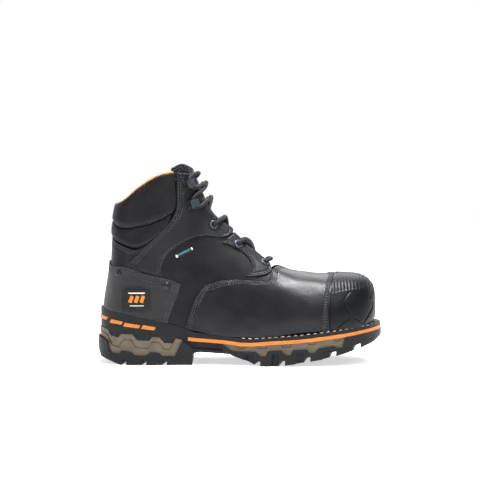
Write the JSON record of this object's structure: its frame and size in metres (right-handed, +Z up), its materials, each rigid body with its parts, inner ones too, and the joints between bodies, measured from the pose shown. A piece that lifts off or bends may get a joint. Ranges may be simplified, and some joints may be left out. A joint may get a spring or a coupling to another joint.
{
  "type": "work boot",
  "caption": "Right safety-toe work boot: laced shaft with padded collar and tongue, layered upper over a steel toe cap, and a lugged outsole in a moulded frame.",
  "frame": {"origin": "on the ground under the middle of the boot's bounding box", "axes": "+X to the toe, +Y to the medial side of this right boot, +Z up"},
  "size_m": [0.3099, 0.1111, 0.2159],
  "materials": {
    "quarter_leather": "smooth, slightly waxed",
    "eyestay_leather": "smooth, slightly waxed",
    "facing_leather": "smooth",
    "vamp_leather": "smooth, soft sheen",
    "heel_nubuck": "napped, matt",
    "backstay_leather": "smooth",
    "collar_leather": "soft, perforated",
    "toe_band_leather": "smooth",
    "tongue_leather": "soft",
    "toe_rubber": "satin moulded",
    "steel_cap": "pressed, dull",
    "gasket_rubber": "matt",
    "stiffener_board": "matt thermoplastic board",
    "lining_fabric": "brushed textile",
    "patch_rubber": "matt moulded",
    "woven_tag": "woven",
    "tongue_foam": "open-cell foam",
    "webbing": "ribbed weave",
    "lace_cord": "round braid",
    "aglet_plastic": "glossy",
    "gunmetal_hardware": "gunmetal, satin",
    "outsole_rubber": "moulded, matt",
    "chassis_plastic": "satin thermoplastic",
    "accent_orange": "satin thermoplastic",
    "welt_rubber": "matt",
    "midsole_rubber": "matt",
    "filler_foam": "cork-filled foam",
    "insole_fibreboard": "fibreboard",
    "footbed_fabric": "brushed textile on foam"
  },
  "bodies": {
    "boot": {"quarter_lateral": "quarter_leather", "quarter_medial": "quarter_leather", "eyestay_lateral": "eyestay_leather", "eyestay_medial": "eyestay_leather", "facing_lateral": "facing_leather", "facing_medial": "facing_leather", "eyelets_lateral": "gunmetal_hardware", "eyelets_medial": "gunmetal_hardware", "lace_hooks_lateral": "gunmetal_hardware", "lace_hooks_medial": "gunmetal_hardware", "heel_overlay": "heel_nubuck", "heel_rivets": "gunmetal_hardware", "backstay": "backstay_leather", "vamp": "vamp_leather", "collar_pad_upper": "collar_leather", "collar_pad_lower": "collar_leather", "toe_bumper": "toe_rubber", "toe_band": "toe_band_leather", "steel_toe_cap": "steel_cap", "toe_cap_gasket": "gasket_rubber", "heel_counter": "stiffener_board", "lining_shaft": "lining_fabric", "lining_vamp": "lining_fabric", "label_patch": "patch_rubber", "side_tag": "woven_tag", "lace": "lace_cord", "lace_aglets": "aglet_plastic", "outsole": "outsole_rubber", "heel_chassis": "chassis_plastic", "forefoot_chassis_lateral": "chassis_plastic", "forefoot_chassis_medial": "chassis_plastic", "accent_strip": "accent_orange", "heel_accents": "accent_orange", "welt": "welt_rubber", "midsole": "midsole_rubber", "shank": "steel_cap", "bottom_filler": "filler_foam", "insole_board": "insole_fibreboard"},
    "tongue": {"tongue_shell": "tongue_leather", "tongue_pad": "tongue_foam", "tongue_lining": "lining_fabric", "tongue_webbing": "webbing"},
    "footbed": {"footbed": "footbed_fabric"}
  },
  "joints": [
    {"name": "tongue_fold", "type": "hinge", "parent": "boot", "child": "tongue", "pos_m": [0.034, 0, 0.098], "axis": [0, 1, 0], "range_deg": [-10, 0], "stiffness_Nm_per_rad": 0.6},
    {"name": "footbed_lift", "type": "slide", "parent": "boot", "child": "footbed", "axis": [0, 0, 1], "range_m": [0, 0.012]}
  ]
}
